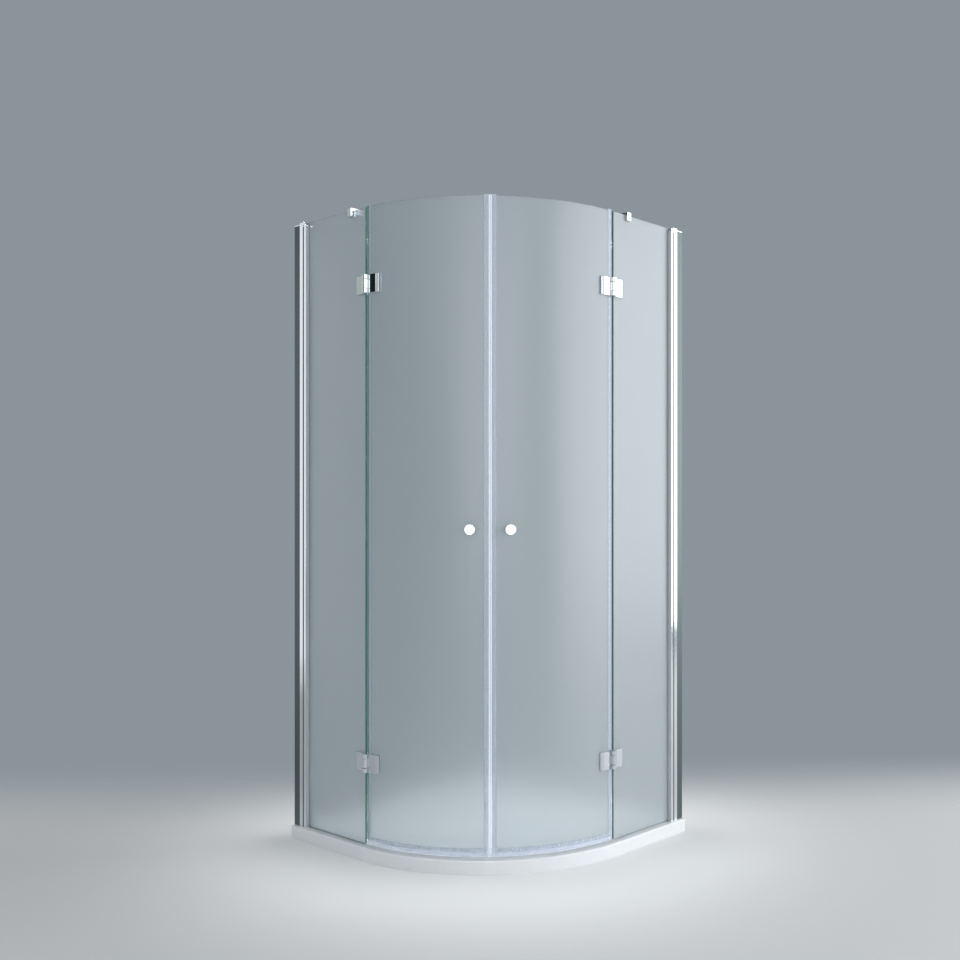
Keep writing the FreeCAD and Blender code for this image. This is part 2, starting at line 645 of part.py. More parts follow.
def make_bottom_seal():
    """The clear seal under the door: legs up the glass and two wiping fins down to the tray."""
    inner, outer = R_IN - SEAL_SKIN, R_OUT + SEAL_SKIN
    tip = DOOR_LOW - BOTTOM_SEAL_DROP
    base = DOOR_LOW - BOTTOM_SEAL_BASE
    splay, fin = BOTTOM_FIN_SPLAY, BOTTOM_FIN
    outline = [(inner, DOOR_LOW), (inner, base), (R_IN, base), (R_IN - splay, tip),
               (R_IN - splay + fin, tip), (R_IN + fin, base), (outer - fin, base),
               (outer - fin + splay, tip), (outer + splay, tip), (outer, base), (outer, DOOR_LOW)]
    strip = swept(outline, angle_at(DOOR_START), angle_from_seam(MAGNET_SEAL_AIR))
    start = angle_at(DOOR_START + SIDE_SEAL_LEG + SEAL_JOINT)
    end = angle_from_seam(SEAM_HALF_GAP + MAGNET_SEAL_LEG + SEAL_JOINT)
    legs = band(inner, outer, start, end, DOOR_LOW, DOOR_LOW + BOTTOM_SEAL_LEG)
    legs = legs.cut(band(R_IN, R_OUT, start - 1, end + 1, DOOR_LOW, GLASS_TOP))
    return strip.fuse(legs.Solids).removeSplitter()


# ---------------------------------------------------------------- knobs of one door
def make_knobs():
    angle = angle_from_seam(KNOB_FROM_SEAM)
    out = polar(1, angle) - polar(0, angle)
    length, neck_end = KNOB_LENGTH, KNOB_LENGTH - KNOB_HEAD
    outline = [(0, 0), (KNOB_BASE_R, 0), (KNOB_BASE_R, KNOB_FOOT), (KNOB_NECK_R, KNOB_FLARE),
               (KNOB_NECK_R, neck_end - KNOB_FLARE), (KNOB_R - KNOB_EDGE, neck_end),
               (KNOB_R, neck_end + KNOB_EDGE), (KNOB_R, length - KNOB_ROUND),
               (KNOB_R - 0.3 * KNOB_ROUND, length - 0.3 * KNOB_ROUND), (KNOB_R - KNOB_ROUND, length),
               (0, length)]
    outer_at = polar(R_OUT + KNOB_WASHER, angle, KNOB_HEIGHT)
    inner_at = polar(R_IN - KNOB_WASHER, angle, KNOB_HEIGHT)
    stud = rod(STUD_R, polar(R_IN - KNOB_WASHER - STUD_IN_KNOB, angle, KNOB_HEIGHT), out,
               GLASS_THICK + 2 * (KNOB_WASHER + STUD_IN_KNOB))
    knobs = [aim(turned(outline), outer_at, out).cut(stud),
             aim(turned(outline), inner_at, out.negative()).cut(stud)]
    bore = rod(STUD_R + SLEEVE_CLEARANCE, polar(R_IN - length, angle, KNOB_HEIGHT), out, 3 * length)
    glass = Part.makeCylinder(R_OUT, GLASS_TOP, ARC).cut(Part.makeCylinder(R_IN, GLASS_TOP, ARC))
    washers = []
    for centre, way in ((outer_at, out.negative()), (inner_at, out)):
        disc = rod(KNOB_BASE_R, centre, way, KNOB_WASHER + SLEEVE_OVERLAP)
        washers.append(disc.cut(glass))
    sleeve = rod(GLASS_HOLE_R - SLEEVE_CLEARANCE, polar(R_IN + SLEEVE_OVERLAP, angle, KNOB_HEIGHT), out,
                 GLASS_THICK)
    washers[0] = washers[0].fuse(sleeve)
    return knobs, [washer.cut(bore) for washer in washers], stud


# ---------------------------------------------------------------- brace of one side
def lug_pair(point, reach, direction, level):
    """Two round-ended lugs, one above the other, from a face out to a swivel point."""
    side = Vector(-direction.y, direction.x, 0) * BAR_R
    root = point - direction * reach
    corners = [root + side, root - side, point - side, point + side]
    lugs = []
    for low in (level - BAR_R, level + BAR_R - FORK_LUG):
        plate = prism([(c.x, c.y) for c in corners], low, low + FORK_LUG)
        lugs.append(plate.fuse(rod(BAR_R, Vector(point.x, point.y, low), UP, FORK_LUG)))
    return lugs


def make_brace():
    """Clamp on the glass, swivelling bar at 45 degrees and flange on the side wall."""
    level = GLASS_TOP + CLAMP_ABOVE_GLASS - BAR_R
    middle = FIXED_END - CLAMP_FROM_EDGE
    top = GLASS_TOP + CLAMP_ABOVE_GLASS
    slot = GLASS_THICK / 2 + CLAMP_PAD
    out = slot + CLAMP_CHEEK
    half = CLAMP_WIDTH / 2
    block = box(middle - half, middle + half, FACE_MID - out, FACE_MID + out, top - CLAMP_HEIGHT, top)
    block = block.makeChamfer(CLAMP_EDGE, block.Edges)
    inward = Vector(0, 1, 0)
    near = Vector(middle, FACE_MID + out + FORK_REACH, level)
    block = block.fuse(lug_pair(near, FORK_REACH + CLAMP_CHEEK / 2, inward, level))
    block = block.cut(box(middle - half, middle + half, FACE_MID - slot, FACE_MID + slot,
                          0, GLASS_TOP + CLAMP_PAD))
    screw_at = Vector(middle, FACE_MID + slot, top - CLAMP_HEIGHT + CLAMP_SCREW_UP)
    grub_room = rod(CLAMP_SCREW_R, screw_at, inward, CLAMP_CHEEK)
    grub = socketed(grub_room, CLAMP_SCREW_R, screw_at + inward * CLAMP_CHEEK, inward)
    pad = box(middle - half, middle + half, FACE_MID - slot, FACE_MID + slot,
              top - CLAMP_HEIGHT, GLASS_TOP + CLAMP_PAD)
    pad = pad.cut(box(middle - half, middle + half, FACE_OUT, FACE_IN, 0, GLASS_TOP))

    run = Vector(-1, 1, 0).normalize()
    far_x = WALL + FLANGE_SWIVEL
    far = near + run * ((far_x - near.x) / run.x)
    wall_face = Vector(WALL, far.y, level)
    slab = box(WALL, WALL + FLANGE_THICK, far.y - FLANGE_LENGTH / 2 + BAR_R,
               far.y + FLANGE_LENGTH / 2 - BAR_R, level - BAR_R, level + BAR_R)
    ends = [rod(BAR_R, wall_face + Vector(0, s * (FLANGE_LENGTH / 2 - BAR_R), 0), Vector(1, 0, 0),
                FLANGE_THICK) for s in (-1, 1)]
    flange = slab.fuse(ends + lug_pair(far, FLANGE_SWIVEL - FLANGE_THICK / 2, Vector(1, 0, 0), level))
    for s in (-1, 1):
        at = wall_face + Vector(FLANGE_THICK, s * FLANGE_HOLE_PITCH / 2, 0)
        hole = turned([(0, 1), (2 * FLANGE_HOLE_R, 1), (2 * FLANGE_HOLE_R, 0),
                       (FLANGE_HOLE_R, -FLANGE_HOLE_R), (FLANGE_HOLE_R, -2 * FLANGE_THICK),
                       (0, -2 * FLANGE_THICK)])
        flange = flange.cut(aim(hole, at, Vector(1, 0, 0)))

    pins = [rod(BRACE_PIN_R, Vector(p.x, p.y, level - BAR_R), UP, 2 * BAR_R) for p in (near, far)]
    eyes = []
    for point, way in ((near, run), (far, run.negative())):
        side = Vector(-way.y, way.x, 0) * EYE_R
        neck = point + way * EYE_NECK
        corners = [point + side, neck + way + side, neck + way - side, point - side]
        low = level - EYE_THICK / 2
        eye = prism([(c.x, c.y) for c in corners], low, low + EYE_THICK)
        eye = eye.fuse([rod(EYE_R, Vector(point.x, point.y, low), UP, EYE_THICK),
                        rod(BAR_R, neck, way, EYE_COLLAR),
                        rod(BAR_R - BAR_WALL, neck, way, EYE_COLLAR + EYE_PLUG)])
        eyes.append(drilled(eye, pins))
    offset = EYE_NECK + EYE_COLLAR
    length = near.distanceToPoint(far) - 2 * offset
    tube = rod(BAR_R, near + run * offset, run, length)
    tube = tube.cut(rod(BAR_R - BAR_WALL, near + run * offset, run, length))
    return (drilled(block, [grub_room, pins[0]]), grub, pad, tube, eyes, pins,
            drilled(flange, [pins[1]]))


tray, cover = make_tray()
save("shower_tray", [tray])
save("waste_cover", [cover])

one_side = {}
both_sides = {name: [] for name in (
    "hinge_frame_backplates", "hinge_frame_gaskets", "hinge_frame_screws", "hinge_pins")}
on_door = ("hinge_door_backplates", "hinge_door_gaskets", "hinge_door_screws", "hinge_bushes")
one_side.update({name: [] for name in on_door})

for place, level in HINGE_LEVELS.items():
    leaf, backplate, gaskets, screws, pin = make_frame_hinge(level)
    one_side["hinge_frame_leaf_" + place] = [leaf]
    both_sides["hinge_frame_backplates"].append(backplate)
    both_sides["hinge_frame_gaskets"].extend(gaskets)
    both_sides["hinge_frame_screws"].extend(screws)
    both_sides["hinge_pins"].append(pin)
    leaf, backplate, gaskets, screws, bush = make_door_hinge(level)
    one_side["hinge_door_leaf_" + place] = [leaf]
    one_side["hinge_door_backplates"].append(backplate)
    one_side["hinge_door_gaskets"].extend(gaskets)
    one_side["hinge_door_screws"].extend(screws)
    one_side["hinge_bushes"].append(bush)

profile = make_glazing_profile()
channel = make_wall_channel()
profile_screws = make_profile_screws()
one_side["wall_channel"] = [drilled(channel, profile_screws)]
one_side["glazing_profile"] = [drilled(profile, profile_screws)]
both_sides["profile_screws"] = profile_screws
both_sides["profile_caps"] = [make_profile_cap()]
both_sides["glazing_gaskets"] = [
    box(SLOT_START + GLAZING_GASKET, PROFILE_END, y, y + GLAZING_GASKET, FIXED_LOW, PROFILE_TOP)
    for y in (FACE_OUT - GLAZING_GASKET, FACE_IN)]
both_sides["panel_foot_seals"] = [
    box(SLOT_START + GLAZING_GASKET, FIXED_END, FACE_OUT, FACE_IN, TRAY_HEIGHT, FIXED_LOW)]
one_side["fixed_panel"] = [make_fixed_panel()]
one_side["door_panel"] = [make_door_panel()]
one_side["hinge_side_seal"] = make_side_seal()
magnetic_seal, magnet = make_magnetic_seal()
one_side["magnetic_seal"] = [magnetic_seal]
one_side["magnet_strip"] = [magnet]
one_side["bottom_seal"] = [make_bottom_seal()]
knobs, washers, stud = make_knobs()
one_side["knob_outer"], one_side["knob_inner"] = [knobs[0]], [knobs[1]]
one_side["knob_washers"] = washers
one_side["knob_stud"] = [stud]
clamp, grub, pad, tube, eyes, pins, flange = make_brace()
one_side["brace_clamp"] = [clamp]
both_sides["clamp_screws"] = [grub]
both_sides["clamp_pads"] = [pad]
both_sides["brace_tubes"] = [tube]
both_sides["brace_eyes"] = eyes
both_sides["brace_pins"] = pins
both_sides["brace_wall_flanges"] = [flange]

for name, solids in one_side.items():
    save("left_" + name, solids)
    save("right_" + name, [twin(solid) for solid in solids])
for name, solids in both_sides.items():
    save(name, solids + [twin(solid) for solid in solids])
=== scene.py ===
# %% [markdown]
# # A quadrant shower enclosure, dressed in Blender
#
# Two fixed panes of frosted glass stand on a low quarter-round tray. Two curved doors of
# the same glass hang on them from chrome hinges and close on a pair of magnetic seals.
# The construction comes from the imported model and stays where it is. This lesson gives it
# its finishes, adds the trim that the construction leaves to the eye, and sets up the
# camera and the lights. The load call brings in the imported model.

# %% Load the imported model
import json
import math

import bpy
from mathutils import Matrix, Vector


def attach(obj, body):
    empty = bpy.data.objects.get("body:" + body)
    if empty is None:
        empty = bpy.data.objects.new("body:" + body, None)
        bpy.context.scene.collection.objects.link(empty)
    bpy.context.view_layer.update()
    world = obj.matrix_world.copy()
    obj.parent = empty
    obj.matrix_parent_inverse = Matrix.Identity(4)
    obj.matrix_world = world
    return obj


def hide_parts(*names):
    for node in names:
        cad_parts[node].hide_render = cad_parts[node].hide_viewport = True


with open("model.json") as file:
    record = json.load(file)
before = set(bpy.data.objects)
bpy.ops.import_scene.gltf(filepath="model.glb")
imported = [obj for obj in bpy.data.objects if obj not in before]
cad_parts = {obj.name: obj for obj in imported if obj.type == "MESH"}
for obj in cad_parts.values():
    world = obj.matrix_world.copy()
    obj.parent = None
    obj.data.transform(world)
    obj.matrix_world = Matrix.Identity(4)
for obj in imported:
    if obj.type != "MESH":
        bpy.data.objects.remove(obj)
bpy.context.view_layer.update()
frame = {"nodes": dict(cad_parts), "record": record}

bpy.ops.object.select_all(action="DESELECT")

# %% [markdown]
# ## The camera
#
# The picture was taken with a level camera at about waist height, some 3.6 m from the
# middle of the tray. A level camera keeps the upright edges upright. The lens and the place
# were worked out from the edges of the tray and the tops of the glass. The small shift
# moves the frame, as on a view camera, without tilting it.

# %% Camera
CAMERA_PLACE = (2.5773, -2.5710, 1.0568)
CAMERA_LEVEL = math.radians(90)
CAMERA_TURN = math.radians(41.551)
LENS_MM, SENSOR_MM = 42.155, 36.0
SHIFT = (-0.0828, 0.0282)

camera_data = bpy.data.cameras.new("camera")
camera_data.lens = LENS_MM
camera_data.sensor_width = SENSOR_MM
camera_data.shift_x, camera_data.shift_y = SHIFT
camera = bpy.data.objects.new("camera", camera_data)
camera.location = CAMERA_PLACE
camera.rotation_euler = (CAMERA_LEVEL, 0, CAMERA_TURN)
bpy.context.scene.collection.objects.link(camera)
bpy.context.scene.camera = camera
print("camera at", CAMERA_PLACE, "with a lens of", LENS_MM, "mm")

# %% [markdown]
# ## Colours and nodes
#
# Colours are written as screen colours in hexadecimal, because that is how they are read
# from a picture or a paint chart. Blender's shaders count in linear light, so one function
# turns the first into the second. A second small function adds a node to a material. It
# takes the node's settings by name, and its inputs as numbers or as another node's output.
# A third starts a finish: a surface shader, and the coordinates that its patterns follow.


# %% Three helpers for materials
def linear(screen_hex):
    """A screen colour such as "#8b979e" as linear light, with an alpha of 1."""
    shares = [int(screen_hex[k:k + 2], 16) / 255 for k in (1, 3, 5)]
    light = [c / 12.92 if c <= 0.04045 else ((c + 0.055) / 1.055) ** 2.4 for c in shares]
    return (*light, 1.0)


def add(tree, kind, inputs=None, **settings):
    """Adds one node. inputs holds a number, a colour or another node's output by socket."""
    node = tree.nodes.new(kind)
    for name, value in settings.items():
        setattr(node, name, value)
    for socket, value in (inputs or {}).items():
        if isinstance(value, bpy.types.NodeSocket):
            tree.links.new(value, node.inputs[socket])
        else:
            node.inputs[socket].default_value = value
    return node


finishes = {}


def new_finish(name):
    """Starts a material: its node tree, its surface shader and its object coordinates."""
    material = bpy.data.materials.new(name)
    finishes[name] = material
    material.use_nodes = True
    tree = material.node_tree
    tree.nodes.clear()
    shader = add(tree, "ShaderNodeBsdfPrincipled")
    add(tree, "ShaderNodeOutputMaterial", {"Surface": shader.outputs["BSDF"]})
    place = add(tree, "ShaderNodeTexCoord").outputs["Object"]
    return tree, shader, place


print("white is", [round(c, 3) for c in linear("#ffffff")[:3]])

# %% [markdown]
# ## Frosted glass: where is a face?
#
# The panes are 6 mm toughened glass with two kinds of surface. The broad faces are etched
# with acid until they are satin. The narrow edges are ground and polished. One material
# can serve both if it knows which face it is on. The curved doors bend round an upright
# axis, and the fixed panes carry on straight from them, so the direction across a pane is
# the direction away from that axis, held to the front and to the right. A face that looks
# across the pane is etched, and one that looks along it or up is an edge.

# %% Find the edges of the panes
BEND_AXIS = (-0.110, 0.110, 0.0)
FACE_FACING, EDGE_FACING = 0.9, 0.5
tree, shader, place = new_finish("acid_etched_glass")
from_axis = add(tree, "ShaderNodeVectorMath", {0: place, 1: BEND_AXIS}, operation="SUBTRACT")
split = add(tree, "ShaderNodeSeparateXYZ", {0: from_axis.outputs[0]})
to_right = add(tree, "ShaderNodeMath", {0: split.outputs["X"], 1: 0.0}, operation="MAXIMUM")
to_front = add(tree, "ShaderNodeMath", {0: split.outputs["Y"], 1: 0.0}, operation="MINIMUM")
across = add(tree, "ShaderNodeCombineXYZ",
             {"X": to_right.outputs[0], "Y": to_front.outputs[0]})
across_unit = add(tree, "ShaderNodeVectorMath", {0: across.outputs[0]}, operation="NORMALIZE")
normal = add(tree, "ShaderNodeTexCoord").outputs["Normal"]
facing = add(tree, "ShaderNodeVectorMath", {0: normal, 1: across_unit.outputs[0]},
             operation="DOT_PRODUCT")
facing_size = add(tree, "ShaderNodeMath", {0: facing.outputs["Value"]}, operation="ABSOLUTE")
on_edge = add(tree, "ShaderNodeMapRange",
              {"Value": facing_size.outputs[0], "From Min": FACE_FACING,
               "From Max": EDGE_FACING}).outputs[0]
print("the panes bend round", BEND_AXIS)

# %% [markdown]
# ## Frosted glass: the two surfaces
#
# Satin glass lets light through but scatters it: what stands close behind it shows as a
# soft shape, and what stands far away melts into an even grey. A rough, transmitting
# surface gives both. The etching is a little uneven. Its real grain is under a tenth of a
# millimetre, too fine to show from here, so it is drawn at 1.5 mm. At an edge the eye
# looks along the pane, through a great depth of glass, and sees the green that iron gives
# it, so there the colour turns green, the surface smooth and the glass less clear.

# %% Frosted glass
ETCH_GRAIN_MM, ETCH_DETAIL = 1.5, 3.0
ETCH_COLOURS, ETCH_ROUGHS, ETCH_CLEARNESS = ("#dde5ea", "#e6edf1"), (0.26, 0.34), 0.76
EDGE_COLOUR, EDGE_ROUGH, EDGE_CLEARNESS = "#136b56", 0.06, 0.1
GLASS_IOR = 1.52
etch = add(tree, "ShaderNodeTexNoise",
           {"Vector": place, "Scale": 1000 / ETCH_GRAIN_MM,
            "Detail": ETCH_DETAIL}).outputs["Fac"]
etch_colour = add(tree, "ShaderNodeMix",
                  {"Factor": etch, "A": linear(ETCH_COLOURS[0]),
                   "B": linear(ETCH_COLOURS[1])}, data_type="RGBA")
etch_rough = add(tree, "ShaderNodeMapRange",
                 {"Value": etch, "To Min": ETCH_ROUGHS[0], "To Max": ETCH_ROUGHS[1]})
colour = add(tree, "ShaderNodeMix",
             {"Factor": on_edge, "A": etch_colour.outputs["Result"],
              "B": linear(EDGE_COLOUR)}, data_type="RGBA")
roughness = add(tree, "ShaderNodeMix",
                {"Factor": on_edge, "A": etch_rough.outputs[0], "B": EDGE_ROUGH})
clearness = add(tree, "ShaderNodeMix",
                {"Factor": on_edge, "A": ETCH_CLEARNESS, "B": EDGE_CLEARNESS})
tree.links.new(colour.outputs["Result"], shader.inputs["Base Color"])
tree.links.new(roughness.outputs["Result"], shader.inputs["Roughness"])
tree.links.new(clearness.outputs["Result"], shader.inputs["Transmission Weight"])
shader.inputs["IOR"].default_value = GLASS_IOR
print("frosted glass has", len(tree.nodes), "nodes")

# %% [markdown]
# ## One recipe for patterned finishes
#
# Most of the other finishes are one base material with a slight unevenness that tells how
# it was made. What runs through a die, such as aluminium section or seal, has long streaks
# along its length. What is moulded or cast has a grain that is alike in all directions.
# What is polished has soft, wide waves and a haze that comes and goes. All three are the
# same noise, stretched or not, that moves the colour and the roughness a little and lifts
# the surface by a few hundredths of a millimetre at most. So they share one function, which
# takes the size of the grain in millimetres and how much longer it is upwards than across.

# %% The shared recipe
GRAIN_DETAIL = 4.0
GRAIN_LOW, GRAIN_HIGH = 0.3, 0.7


def uneven_finish(name, colours, roughs, grain_mm, height_mm, stretch=1.0, metallic=0.0,
                  ior=1.5):
    """Makes a finish whose colour, roughness and height follow one noise."""
    tree, shader, place = new_finish(name)
    along = add(tree, "ShaderNodeMapping", {"Vector": place, "Scale": (1, 1, 1 / stretch)})
    grain = add(tree, "ShaderNodeTexNoise",
                {"Vector": along.outputs[0], "Scale": 1000 / grain_mm,
                 "Detail": GRAIN_DETAIL}).outputs["Fac"]
    colour = add(tree, "ShaderNodeMix",
                 {"Factor": grain, "A": linear(colours[0]), "B": linear(colours[1])},
                 data_type="RGBA")
    rough = add(tree, "ShaderNodeMapRange",
                {"Value": grain, "From Min": GRAIN_LOW, "From Max": GRAIN_HIGH,
                 "To Min": roughs[0], "To Max": roughs[1]})
    relief = add(tree, "ShaderNodeBump", {"Height": grain, "Distance": height_mm / 1000})
    tree.links.new(colour.outputs["Result"], shader.inputs["Base Color"])
    tree.links.new(rough.outputs[0], shader.inputs["Roughness"])
    tree.links.new(relief.outputs[0], shader.inputs["Normal"])
    shader.inputs["Metallic"].default_value = metallic
    shader.inputs["IOR"].default_value = ior
    return shader


print("the recipe's noise has a detail of", GRAIN_DETAIL)

# %% [markdown]
# ## Acrylic tray
#
# The tray is a shell of white acrylic sheet, drawn over a mould and backed with resin. The
# sheet comes out glossy, with a faint waviness some 30 mm long, and cleaning dulls the
# gloss in patches. The clear top of the sheet is a coat with a gloss of its own.

# %% Acrylic tray
COAT, COAT_ROUGH = 0.25, 0.06
tray_shader = uneven_finish("gloss_acrylic_sheet", ("#dce0e3", "#e2e6e8"), (0.16, 0.26),
                            grain_mm=30.0, height_mm=0.05, ior=1.49)
tray_shader.inputs["Coat Weight"].default_value = COAT
tray_shader.inputs["Coat Roughness"].default_value = COAT_ROUGH
print("made", list(finishes)[-1])

# %% [markdown]
# ## Aluminium sections
#
# Both wall sections are extruded aluminium. The glazing profile that slides in and out is
# bright-dipped and anodised, so it mirrors the room a little softly. The channel that is
# screwed to the wall has a satin anodised finish, darker and duller. The die leaves fine
# lines along both, a few tenths of a millimetre wide. They are drawn at 0.8 mm, 300 times
# as long as they are wide.

# %% Aluminium sections
DIE_LINE_MM, DIE_LINE_STRETCH = 0.8, 300.0
uneven_finish("bright_dipped_aluminium", ("#d6dade", "#dfe3e6"), (0.08, 0.13), DIE_LINE_MM,
              stretch=DIE_LINE_STRETCH, height_mm=0.0004, metallic=1.0)
uneven_finish("satin_anodised_aluminium", ("#5a6364", "#667071"), (0.32, 0.44), DIE_LINE_MM,
              stretch=DIE_LINE_STRETCH, height_mm=0.004, metallic=1.0)
print("made", list(finishes)[-2:])

# %% [markdown]
# ## Chrome
#
# Hinges, knobs, clamps and bars are brass, polished and plated with nickel and chrome. The
# plate is a clean mirror with a slight blue. Polishing leaves the flats a little wavy, and
# wiping leaves a haze here and there. The end caps are ABS plated the same way: the mould
# shows through as a softer, wavier mirror. The cover over the waste is pressed from
# stainless steel and polished, and screws and pins are turned from it.

# %% Chrome and steel
uneven_finish("chrome_plated_brass", ("#dce1e5", "#e3e7ea"), (0.03, 0.08), grain_mm=14.0,
              height_mm=0.004, metallic=1.0)
uneven_finish("chrome_plated_abs", ("#d6dbdf", "#dfe3e6"), (0.08, 0.16), grain_mm=6.0,
              height_mm=0.01, metallic=1.0)
uneven_finish("polished_stainless_steel", ("#b2b6b8", "#c2c6c8"), (0.16, 0.28), grain_mm=0.6,
              height_mm=0.003, metallic=1.0)
print("made", list(finishes)[-3:])

# %% [markdown]
# ## Clear seals
#
# The door seals are extruded PVC, clear with a cast between blue and lavender, and streaky
# along their length. Clear plastic this thin is simplest as a pale skin that is partly
# see-through, and how much depends on the place. On the faces of the glass the skin shows
# as a pale band. Towards the hinges it is clearer. On the left the green of the two glass
# edges beside it is painted into its colour: a painted show-through of those edges, where
# a clear seal would only let them be seen. Over the white magnets it is nearly clear, and
# between them the two skins lie so close that they look milky. The places where one passes
# into the next are in metres, from the middle of the tray or from the seam.

# %% Clear seals
GREEN_FROM, CLEAR_FROM = 0.0885, 0.0945
MAGNET_FROM, MAGNET_TO = 0.0012, 0.0044
SOFT_STEP = 0.0003
SKIN_ALPHA, GREEN_ALPHA, CLEAR_ALPHA, MAGNET_ALPHA = 0.30, 0.2, 0.005, 0.04
SEAM_ALPHA = 0.5
PAINTED_EDGE_GREEN = "#459a8c"
DIAGONAL = math.sqrt(2)


def step(tree, value, at, below=0.0, above=1.0):
    """Goes from one number to another where the value passes a place."""
    return add(tree, "ShaderNodeMapRange",
               {"Value": value, "From Min": at - SOFT_STEP, "From Max": at + SOFT_STEP,
                "To Min": below, "To Max": above}).outputs[0]


seal_shader = uneven_finish("clear_extruded_pvc", ("#d9e5f8", "#e2ecfb"), (0.12, 0.18),
                            grain_mm=1.0, stretch=400.0, height_mm=0.004, ior=1.53)
tree = finishes["clear_extruded_pvc"].node_tree
place = add(tree, "ShaderNodeTexCoord").outputs["Object"]
split = add(tree, "ShaderNodeSeparateXYZ", {0: place})
to_left = add(tree, "ShaderNodeMath", {0: split.outputs["X"], 1: -1.0}, operation="MULTIPLY")
green = step(tree, to_left.outputs[0], GREEN_FROM)
clear = step(tree, split.outputs["Y"], CLEAR_FROM)
off_seam = add(tree, "ShaderNodeMath", {0: split.outputs["X"], 1: split.outputs["Y"]},
               operation="ADD")
off_seam_size = add(tree, "ShaderNodeMath", {0: off_seam.outputs[0]}, operation="ABSOLUTE")
past_magnet = step(tree, off_seam_size.outputs[0], MAGNET_TO * DIAGONAL)
past_gap = step(tree, off_seam_size.outputs[0], MAGNET_FROM * DIAGONAL,
                below=SEAM_ALPHA, above=MAGNET_ALPHA)
alpha = past_gap
for factor, level in ((past_magnet, SKIN_ALPHA), (green, GREEN_ALPHA), (clear, CLEAR_ALPHA)):
    alpha = add(tree, "ShaderNodeMix", {"Factor": factor, "A": alpha, "B": level}).outputs[0]
tree.links.new(alpha, seal_shader.inputs["Alpha"])
plain = seal_shader.inputs["Base Color"].links[0].from_socket
# Painted green on the left: the colour of the glass edges seen through the seal, painted into
# it.
painted_green = add(tree, "ShaderNodeMix", {"Factor": green, "A": plain, "B": linear(PAINTED_EDGE_GREEN)},
           data_type="RGBA")
tree.links.new(painted_green.outputs["Result"], seal_shader.inputs["Base Color"])
print("the seal has", len(tree.nodes), "nodes")

# %% [markdown]
# ## Pads and glazing lips
#
# The pads between the hinge plates and the glass, and the lips that close the end of the
# glazing profile on the pane, are a softer PVC, pale grey and matt.

# %% Pads
uneven_finish("soft_pvc_pad", ("#b4bcc0", "#c3cacd"), (0.3, 0.45), grain_mm=1.2,
              height_mm=0.02, ior=1.53)
print("made", list(finishes)[-1])

# %% [markdown]
# ## Rubber, magnet and nylon
#
# The glass sits in its profile between strips of grey rubber, matt with a fine grain. The
# magnet strips are white plastic filled with ferrite powder. The clear skin over them makes
# them look polished. They also get a faint bluish glow: painted light, which makes them
# brighter than the light that reaches them. The bushes in the hinges are moulded nylon,
# off-white and waxy.

# %% Rubber, magnet and nylon
PAINTED_GLOW_COLOUR, PAINTED_GLOW = "#e6f2ff", 0.25
uneven_finish("grey_epdm_rubber", ("#5d6468", "#6d7478"), (0.55, 0.7), grain_mm=0.8,
              height_mm=0.03)
magnet_shader = uneven_finish("white_ferrite_plastic", ("#f8fbfc", "#fdfefe"), (0.2, 0.3),
                              grain_mm=1.0, height_mm=0.01)
# Painted light: a faint bluish glow on the magnets, which are no lamp.
magnet_shader.inputs["Emission Color"].default_value = linear(PAINTED_GLOW_COLOUR)
magnet_shader.inputs["Emission Strength"].default_value = PAINTED_GLOW
uneven_finish("moulded_nylon", ("#dcdcd6", "#e6e6e1"), (0.35, 0.45), grain_mm=0.8,
              height_mm=0.01)
print("made", list(finishes)[-3:])

# %% [markdown]
# ## Each node gets its finish
#
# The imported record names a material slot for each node. A short table turns the slot into
# the finish made here.

# %% Finishes on the nodes
SLOT_FINISH = {
    "tray_white": "gloss_acrylic_sheet",
    "frosted_glass": "acid_etched_glass",
    "chrome": "chrome_plated_brass",
    "chrome_cap": "chrome_plated_abs",
    "profile_aluminium": "bright_dipped_aluminium",
    "channel_aluminium": "satin_anodised_aluminium",
    "clear_seal": "clear_extruded_pvc",
    "clear_gasket": "soft_pvc_pad",
    "glazing_rubber": "grey_epdm_rubber",
    "magnet": "white_ferrite_plastic",
    "nylon": "moulded_nylon",
    "steel": "polished_stainless_steel",
}
for part in frame["record"]["subparts"]:
    node = frame["nodes"][part["node"]]
    node.data.materials.clear()
    node.data.materials.append(finishes[SLOT_FINISH[part["material_slot"]]])
print(len(frame["nodes"]), "nodes have a finish")

# %% [markdown]
# ## Two helpers for trim
#
# What the construction leaves to the eye is thin trim, and most of it is a long block with
# some of its edges rounded. One function makes such a block. It is given the block's place
# and size, and a test that picks the edges by their two ends. They are picked in edge mode,
# because in point mode the choice spreads to every edge between the chosen ends. A second
# function makes the copies. A mirror turns a mesh inside out, so after an odd number of
# mirrors the faces are flipped back. Each copy has a mesh of its own.

# %% Two helpers for trim
MM = 0.001
NEAR = 1e-5


def rounded_block(place, sides, is_round, radius, segments, turn=0.0):
    """A block with those edges rounded for whose two ends is_round holds."""
    bpy.ops.mesh.primitive_cube_add(size=1, location=place, rotation=(0, 0, turn))
    block = bpy.context.active_object
    block.scale = sides
    bpy.ops.object.transform_apply(location=True, rotation=True, scale=True)
    bpy.ops.object.mode_set(mode="EDIT")
    bpy.ops.mesh.select_mode(type="EDGE")
    bpy.ops.mesh.select_all(action="DESELECT")
    bpy.ops.object.mode_set(mode="OBJECT")
    for edge in block.data.edges:
        a, b = (block.data.vertices[k].co for k in edge.vertices)
        edge.select = is_round(a, b)
    print("edges to round:", sum(edge.select for edge in block.data.edges))
    bpy.ops.object.mode_set(mode="EDIT")
    bpy.ops.mesh.bevel(offset=radius, segments=segments)
    bpy.ops.object.mode_set(mode="OBJECT")
    bpy.ops.object.select_all(action="DESELECT")
    return block


